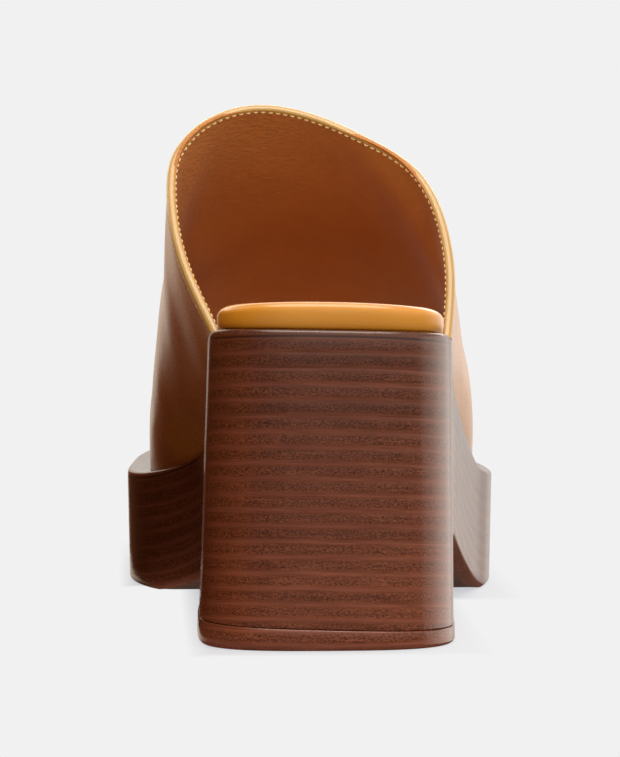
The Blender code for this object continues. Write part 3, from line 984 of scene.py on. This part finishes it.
STACK_BUMP = Bump(0.25, 0.00004)


def stack_material():
    """Gloss print of stacked dark wood: fine light lines, with grain and dark flecks between them."""
    material, nodes, shader = new_material("stacked_wood")
    per_mm = [nodes.math("MULTIPLY", axis, 1 / MM) for axis in nodes.axes(nodes.place())[:2]]
    depth = nodes.make("Attribute", attribute_name="layer_depth")["Fac"]

    def grained(grain):
        x, y = (nodes.math("MULTIPLY", axis, grain.along) for axis in per_mm)
        spot = {"X": x, "Y": y, "Z": nodes.math("MULTIPLY", depth, grain.across)}
        stretched = nodes.make("CombineXYZ", spot)["Vector"]
        return nodes.noise(stretched, Noise(1.0, grain.detail, grain.roughness))

    layers = nodes.math("DIVIDE", nodes.math("SUBTRACT", depth, FIRST_LINE), LAYER_PITCH)
    layers = nodes.math("ADD", layers, nodes.fade(grained(WAVER), 0.0, 1.0, -LINE_WAVER, LINE_WAVER))
    from_line = nodes.math("PINGPONG", nodes.math("FRACT", layers), 0.5)
    layer = nodes.make("TexWhiteNoise", {"W": nodes.math("FLOOR", layers)}, noise_dimensions="1D")
    streaks, flecks = grained(STREAKS), grained(FLECKS)
    colour = nodes.ramp(from_line, LINE_FADE, (LINE_COLOUR, WOOD_COLOUR))
    colour = nodes.tinted(colour, nodes.fade(layer["Value"], 0.0, 1.0, *LAYER_TONES))
    colour = nodes.tinted(colour, nodes.fade(streaks, *STREAK_BAND, *STREAK_TONES))
    # Painted light: the wood gets lighter further down, as if lit from the floor
    colour = nodes.tinted(colour, nodes.fade(depth, *DEPTH_BAND, *PAINTED_LIGHT_TONES))
    dark = nodes.fade(flecks, *FLECK_BAND, *FLECK_TONES)
    colour = nodes.tinted(colour, dark, nodes.fade(from_line, *FLECK_FADE))
    from_seam = nodes.beyond(depth, *TOP_LINE)
    colour = nodes.tinted(colour, nodes.fade(from_seam, -TOP_LINE_SOFT, 0.0, TOP_LINE_TONE, 1.0))
    groove = nodes.fade(from_line, 0.0, LINE_GROOVE)
    height = nodes.math("ADD", groove, nodes.math("MULTIPLY", flecks, FLECK_HEIGHT))
    nodes.feed(shader, {
        "Base Color": colour,
        "Roughness": nodes.fade(streaks, *NOISE_BAND, *STACK_ROUGHNESS),
        "Specular IOR Level": 0.5,
        "Normal": nodes.bump(height, STACK_BUMP),
    })
    return material


Matt = namedtuple("Matt", "name dark light mottle grain bump")
TREAD_BROWN = Matt(
    "tread_brown", (0.085, 0.034, 0.020), (0.125, 0.050, 0.030), Noise(120.0, 4.0), Noise(1400.0, 3.0),
    Bump(0.25, 0.0001),
)
THREAD = Matt(
    "stitch_thread", (0.74, 0.47, 0.18), (0.92, 0.66, 0.31), Noise(5200.0), Noise(5200.0), Bump(0.5, 0.00005)
)
MATT_ROUGHNESS = (0.5, 0.65)


def matt_material(matt):
    """Matt brown of the underside, or pale yellow thread."""
    material, nodes, shader = new_material(matt.name)
    place = nodes.place()
    mottle = nodes.noise(place, matt.mottle)
    nodes.feed(shader, {
        "Base Color": nodes.ramp(mottle, MOTTLE_BAND, (matt.dark, matt.light)),
        "Roughness": nodes.fade(mottle, *NOISE_BAND, *MATT_ROUGHNESS),
        "Normal": nodes.bump(nodes.noise(place, matt.grain), matt.bump),
    })
    return material


# The last field is the share of colour left on faces that look up: painted shade on their lit tops
Leather = namedtuple("Leather", "name dark light grain roughness coat gloss sheen trodden")
TAN = Leather("tan_leather", (0.43, 0.150, 0.022), (0.50, 0.185, 0.030), 0.22, 0.28, 0.15, 0.2, 0.06, 1.0)
RIM = Leather("rim_leather", (0.46, 0.245, 0.047), (0.53, 0.295, 0.064), 0.15, 0.34, 0.5, 0.25, 0.2, 1.0)
FOOTBED = Leather(
    "footbed_leather", (0.67, 0.255, 0.014), (0.74, 0.295, 0.022), 0.12, 0.3, 0.4, 0.2, 0.0, 0.72
)
LEATHER_MOTTLE, LEATHER_FINE = Noise(55.0, 5.0, 0.6), Noise(2600.0, 3.0, 0.6)
PEBBLE_SCALE = 1150.0
LEATHER_FINE_HEIGHT = 0.6
LEATHER_VARIES = (-0.05, 0.07)  # how far its roughness varies
LEATHER_BUMP_DEPTH = 0.00008
TOP_SHADE_FADE = (0.6, 0.98)  # how far a face looks up before its colour is darkened as painted shade


def leather_material(leather):
    """Smooth leather: mottled colour, fine pebbled grain and a soft finish, with faces that look up toned
    down by painted shade."""
    material, nodes, shader = new_material(leather.name)
    place = nodes.place()
    mottle = nodes.noise(place, LEATHER_MOTTLE)
    pebbles = nodes.make("TexVoronoi", {"Vector": place, "Scale": PEBBLE_SCALE}, feature="F1")
    fine = nodes.noise(place, LEATHER_FINE)
    height = nodes.math("MULTIPLY", fine, LEATHER_FINE_HEIGHT)
    height = nodes.math("ADD", pebbles["Distance"], height)
    _, _, upwards = nodes.axes(nodes.make("NewGeometry")["Normal"])
    # Painted shade: faces that look up get a darker colour, so that their lit tops are toned down
    painted_top_shade = nodes.fade(upwards, *TOP_SHADE_FADE, 1.0, leather.trodden)
    roughness = [leather.roughness + change for change in LEATHER_VARIES]
    nodes.feed(shader, {
        "Base Color": nodes.tinted(nodes.ramp(mottle, MOTTLE_BAND, (leather.dark, leather.light)), painted_top_shade),
        "Roughness": nodes.fade(fine, *NOISE_BAND, *roughness),
        "Specular IOR Level": 0.5,
        "Coat Weight": leather.coat,
        "Coat Roughness": leather.gloss,
        "Sheen Weight": leather.sheen,
        "Sheen Roughness": 0.3,
        "Normal": nodes.bump(height, Bump(leather.grain, LEATHER_BUMP_DEPTH)),
    })
    return material


LINING_COLOURS = (0.475, 0.170, 0.038), (0.555, 0.208, 0.050)
LINING_MOTTLE, LINING_FINE = Noise(45.0, 5.0, 0.6), Noise(2400.0, 3.0, 0.6)
LINING_ROUGHNESS = (0.44, 0.56)
LINING_BUMP = Bump(0.8, 0.0011)
LINING_FINE_HEIGHT = 0.1
WRINKLES = Noise(800.0, 3.0, 0.6)
WRINKLE_TURN, WRINKLE_STRETCH = (0.3, 0.35, 0.2), (0.55, 0.55, 1.5)
WRINKLE_RISE, WRINKLE_LOW = (0.100, 0.125), 0.25  # metres of height over which they set in, and share below
WRINKLE_SIDE, WRINKLE_LATERAL = (0.015, -0.025), 0.35  # the same for x, from the lateral side


def lining_material():
    """Reddish brown lining leather with fine grain and a few faint wrinkles across it."""
    material, nodes, shader = new_material("lining_leather")
    place = nodes.place()
    x, _, z = nodes.axes(place)
    fine = nodes.noise(place, LINING_FINE)
    turned = nodes.make("Mapping", {"Vector": place, "Rotation": WRINKLE_TURN, "Scale": WRINKLE_STRETCH})
    high = nodes.fade(z, *WRINKLE_RISE, WRINKLE_LOW, 1.0)
    medial = nodes.fade(x, *WRINKLE_SIDE, WRINKLE_LATERAL, 1.0)
    wrinkles = nodes.noise(turned["Vector"], WRINKLES)
    wrinkles = nodes.math("MULTIPLY", wrinkles, nodes.math("MULTIPLY", high, medial))
    height = nodes.math("ADD", wrinkles, nodes.math("MULTIPLY", fine, LINING_FINE_HEIGHT))
    nodes.feed(shader, {
        "Base Color": nodes.ramp(nodes.noise(place, LINING_MOTTLE), MOTTLE_BAND, LINING_COLOURS),
        "Roughness": nodes.fade(fine, *NOISE_BAND, *LINING_ROUGHNESS),
        "Specular IOR Level": 0.2,
        "Sheen Weight": 0.12,
        "Sheen Roughness": 0.4,
        "Normal": nodes.bump(height, LINING_BUMP),
    })
    return material


# Studio

PALE = 0.88  # brightness of the floor and of the air around, as seen
AROUND = 0.95  # brightness with which the air lights the shoe
AIR_COLOUR = (1.0, 0.97, 0.90, 1.0)
MEDIAL_COLOUR = (1.0, 0.76, 0.54, 1.0)
MEDIAL_SHARE = 0.2  # what is left of that brightness from the medial side
UNDER_SHARE = 0.06  # what is left of it from under the floor
# Parts of a direction's unit vector over which the light of the air changes
DIM_X, DIM_Y = (0.0, -0.5), (0.85, 0.5)  # dimmer from the medial side, apart from straight ahead
TINT_X, TINT_Y = (0.05, -0.4), (-0.3, 0.1)  # warmer from the medial side, apart from behind
UNDER_Z, UNDER_Y = (0.0, -0.04), (0.2, -0.3)  # dark from just under the floor, behind
DEEP_Z = (-0.12, -0.3)  # dark from further down, all around

FLOOR_SIZE = 60.0  # metres
FLOOR_LIGHT = (0.75, 0.706, 0.639)  # share of the air's brightness that falls on the open floor
FLOOR_MATT = 0.5  # how much of the light on the floor it scatters; the rest of its brightness is its own
Patch = namedtuple("Patch", "x y")
# Patches of floor, around the heel and around the tread, that show the shoe's own shade
SHADED = [Patch((-36, 41), (-8, 118)), Patch((-36, 60), (96, 150)), Patch((-53, 60), (130, 242))]
SHADE_FADE = 6.0  # width over which the shade runs out inside a patch's edge

SoftBox = namedtuple("SoftBox", "name spot aim width height glow spread pieces")
LAMP_COLOUR = (1.0, 0.955, 0.87)
# Soft boxes that light the shoe, its sole or its leathers, and not the floor, in the shoe's millimetres. The
# sole's own box shows in its gloss alone.
SOFT_BOXES = [
    SoftBox("overhead", (20, -70, 640), (0, 50, 90), 420, 420, 3.6, 180, "shoe"),
    SoftBox("strip", (0, -100, 600), (0, 10, 90), 340, 60, 8.0, 180, "shoe"),
    SoftBox("right", (300, 300, 170), (20, 70, 60), 480, 290, 0.5, 180, "leathers"),
    SoftBox("right_low", (213, 54, 50), (30, 5, 50), 380, 240, 0.72, 110, "sole"),
    SoftBox("left", (-320, 120, 420), (-40, 95, 90), 400, 300, 1.0, 180, "leathers"),
    SoftBox("left_front", (-350, 420, 300), (-40, 90, 90), 400, 300, 1.75, 180, "leathers"),
    SoftBox("back", (120, 800, 560), (0, 100, 80), 900, 500, 3.0, 180, "shoe"),
]

CardColumn = namedtuple("CardColumn", "y foot x top")
# Brown card that shades the medial side: each column stands at x up to its top, and has a strip along the
# floor that reaches to foot
CARD = [
    CardColumn(-60, -44, -72, 98),
    CardColumn(-4, -38, -70, 98),
    CardColumn(38, -37, -69, 100),
    CardColumn(75, -35, -66, 110),
    CardColumn(91, -35, -65, 114),
    CardColumn(111, -42, -64, 98),
    CardColumn(147, -54, -64, 74),
    CardColumn(190, -62, -64, 40),
    CardColumn(231, -62, -64, 36),
]
CARD_FOOT = 0.5  # height of the strip
CARD_COLOUR = (0.34, 0.10, 0.015, 1.0)
CARD_ROUGHNESS = 0.9


def add_stage(name, points, faces, material):
    mesh = bpy.data.meshes.new(name)
    mesh.from_pydata(points, [], faces)
    mesh.materials.append(material)
    made = bpy.data.objects.new(name, mesh)
    scene.collection.objects.link(made)
    return made


def floor_material():
    """Evenly bright floor that shows shade in the patches around the shoe alone."""
    material, nodes, shader = new_material("studio_floor")
    nodes.tree.nodes.remove(shader)
    x, y = (nodes.math("MULTIPLY", axis, 1 / MM) for axis in nodes.axes(nodes.place())[:2])
    outside = 1.0
    for patch in SHADED:
        past_x = nodes.beyond(x, *(edge - ORIGIN.x for edge in patch.x))
        past_y = nodes.beyond(y, *(edge - ORIGIN.y for edge in patch.y))
        beyond = nodes.math("MAXIMUM", past_x, past_y)
        outside = nodes.math("MINIMUM", outside, nodes.fade(beyond, -SHADE_FADE, 0.0))
    matt = nodes.make("BsdfDiffuse", {"Color": (FLOOR_MATT, FLOOR_MATT, FLOOR_MATT, 1.0)})
    own = [PALE - FLOOR_MATT * AROUND * share for share in FLOOR_LIGHT]
    glow = nodes.make("Emission", {"Color": (*own, 1.0), "Strength": 1.0})
    near = nodes.make("AddShader", {0: matt[0], 1: glow[0]})
    far = nodes.make("Emission", {"Strength": PALE})
    both = nodes.make("MixShader", {0: outside, 1: near[0], 2: far[0]})
    nodes.feed(nodes.tree.nodes["Material Output"], {"Surface": both[0]})
    return material


def make_floor():
    half = FLOOR_SIZE / 2
    corners = [(-half, -half, 0.0), (half, -half, 0.0), (half, half, 0.0), (-half, half, 0.0)]
    floor = add_stage("floor", corners, [(0, 1, 2, 3)], floor_material())
    floor.visible_glossy = False
    floor.visible_shadow = False


def make_card():
    rows = [[Vector((column.foot, column.y, CARD_FOOT)) for column in CARD]]
    rows.append([Vector((column.x, column.y, CARD_FOOT)) for column in CARD])
    rows.append([Vector((column.x, column.y, column.top)) for column in CARD])
    surface = Surface()
    surface.loft(rows, closed=False)
    material, nodes, shader = new_material("card_brown")
    nodes.feed(shader, {"Base Color": CARD_COLOUR, "Roughness": CARD_ROUGHNESS})
    card = add_stage("dark_card", [in_frame(point) for point in surface.points], surface.faces, material)
    card.visible_camera = False


def make_world():
    """Even pale air to the eye. It lights the shoe less from the medial side, and not from under the floor,
    which is hidden from reflections so that polished faces that look down stay dark."""
    world = bpy.data.worlds.new("studio")
    world.use_nodes = True
    nodes = Nodes(world.node_tree)
    x, y, z = nodes.axes(nodes.make("TexCoord")["Generated"])
    dim = nodes.math("MULTIPLY", nodes.fade(x, *DIM_X), nodes.fade(y, *DIM_Y))
    light = nodes.fade(dim, 0.0, 1.0, AROUND, AROUND * MEDIAL_SHARE)
    under = nodes.math("MULTIPLY", nodes.fade(z, *UNDER_Z), nodes.fade(y, *UNDER_Y))
    dark = nodes.math("MAXIMUM", under, nodes.fade(z, *DEEP_Z))
    light = nodes.math("MULTIPLY", light, nodes.fade(dark, 0.0, 1.0, 1.0, UNDER_SHARE))
    tint = nodes.math("MULTIPLY", nodes.fade(x, *TINT_X), nodes.fade(y, *TINT_Y))
    colour = nodes.mixed(tint, AIR_COLOUR, MEDIAL_COLOUR)
    lit = nodes.make("Background", {"Color": colour, "Strength": light})
    seen = nodes.make("Background", {"Color": (1.0, 1.0, 1.0, 1.0), "Strength": PALE})
    to_eye = nodes.make("LightPath")["Is Camera Ray"]
    both = nodes.make("MixShader", {0: to_eye, 1: lit[0], 2: seen[0]})
    nodes.feed(nodes.tree.nodes["World Output"], {"Surface": both[0]})
    nodes.tree.nodes.remove(nodes.tree.nodes["Background"])
    scene.world = world


def make_soft_boxes():
    receivers = {"shoe": shoe, "sole": sole_pieces, "leathers": leather_pieces}
    for box in SOFT_BOXES:
        data = bpy.data.lights.new(box.name, "AREA")
        data.shape = "RECTANGLE"
        data.size, data.size_y = box.width * MM, box.height * MM
        data.energy = box.glow * math.pi * data.size * data.size_y
        data.spread = math.radians(box.spread)
        data.color = LAMP_COLOUR
        lamp = bpy.data.objects.new(box.name, data)
        lamp.location = in_frame(Vector(box.spot))
        lamp.rotation_euler = (Vector(box.aim) - Vector(box.spot)).to_track_quat("-Z", "Y").to_euler()
        lamp.visible_camera = False
        lamp.visible_diffuse = box.pieces != "sole"
        lamp.light_linking.receiver_collection = receivers[box.pieces]
        scene.collection.objects.link(lamp)


def make_camera():
    """Camera at the photo's spot, turned to the middle of the shoe."""
    aim = Vector((PHOTO_CENTRE[0] - PHOTO_HORIZON[0], PHOTO_LENS, PHOTO_HORIZON[1] - PHOTO_CENTRE[1]))
    data = bpy.data.cameras.new("camera")
    data.sensor_width = SENSOR
    data.lens = PHOTO_LENS * ENLARGED / IMAGE_HEIGHT * SENSOR
    camera = bpy.data.objects.new("camera", data)
    camera.location = in_frame(CAMERA_SPOT)
    camera.rotation_euler = aim.to_track_quat("-Z", "Y").to_euler()
    scene.collection.objects.link(camera)
    bpy.context.scene.camera = camera


def make_shoe():
    stack, tread = stack_material(), matt_material(TREAD_BROWN)
    tan, rim, footbed = (leather_material(leather) for leather in (TAN, RIM, FOOTBED))
    lining, thread = lining_material(), matt_material(THREAD)
    make_sole(stack, tread)
    make_top_piece(stack, tread)
    make_insole(footbed)
    make_upper(tan, lining)
    for edge, along in EDGES.items():
        make_fold(edge + "_fold", along, rim, edge + "_binding")
    for edge, along in EDGES.items():
        make_seam(edge + "_stitches_inside", along, True, thread)
        make_seam(edge + "_stitches_outside", along, False, thread)


make_camera()
make_world()
make_floor()
make_card()
make_soft_boxes()
make_shoe()
scene.view_settings.view_transform = "Standard"
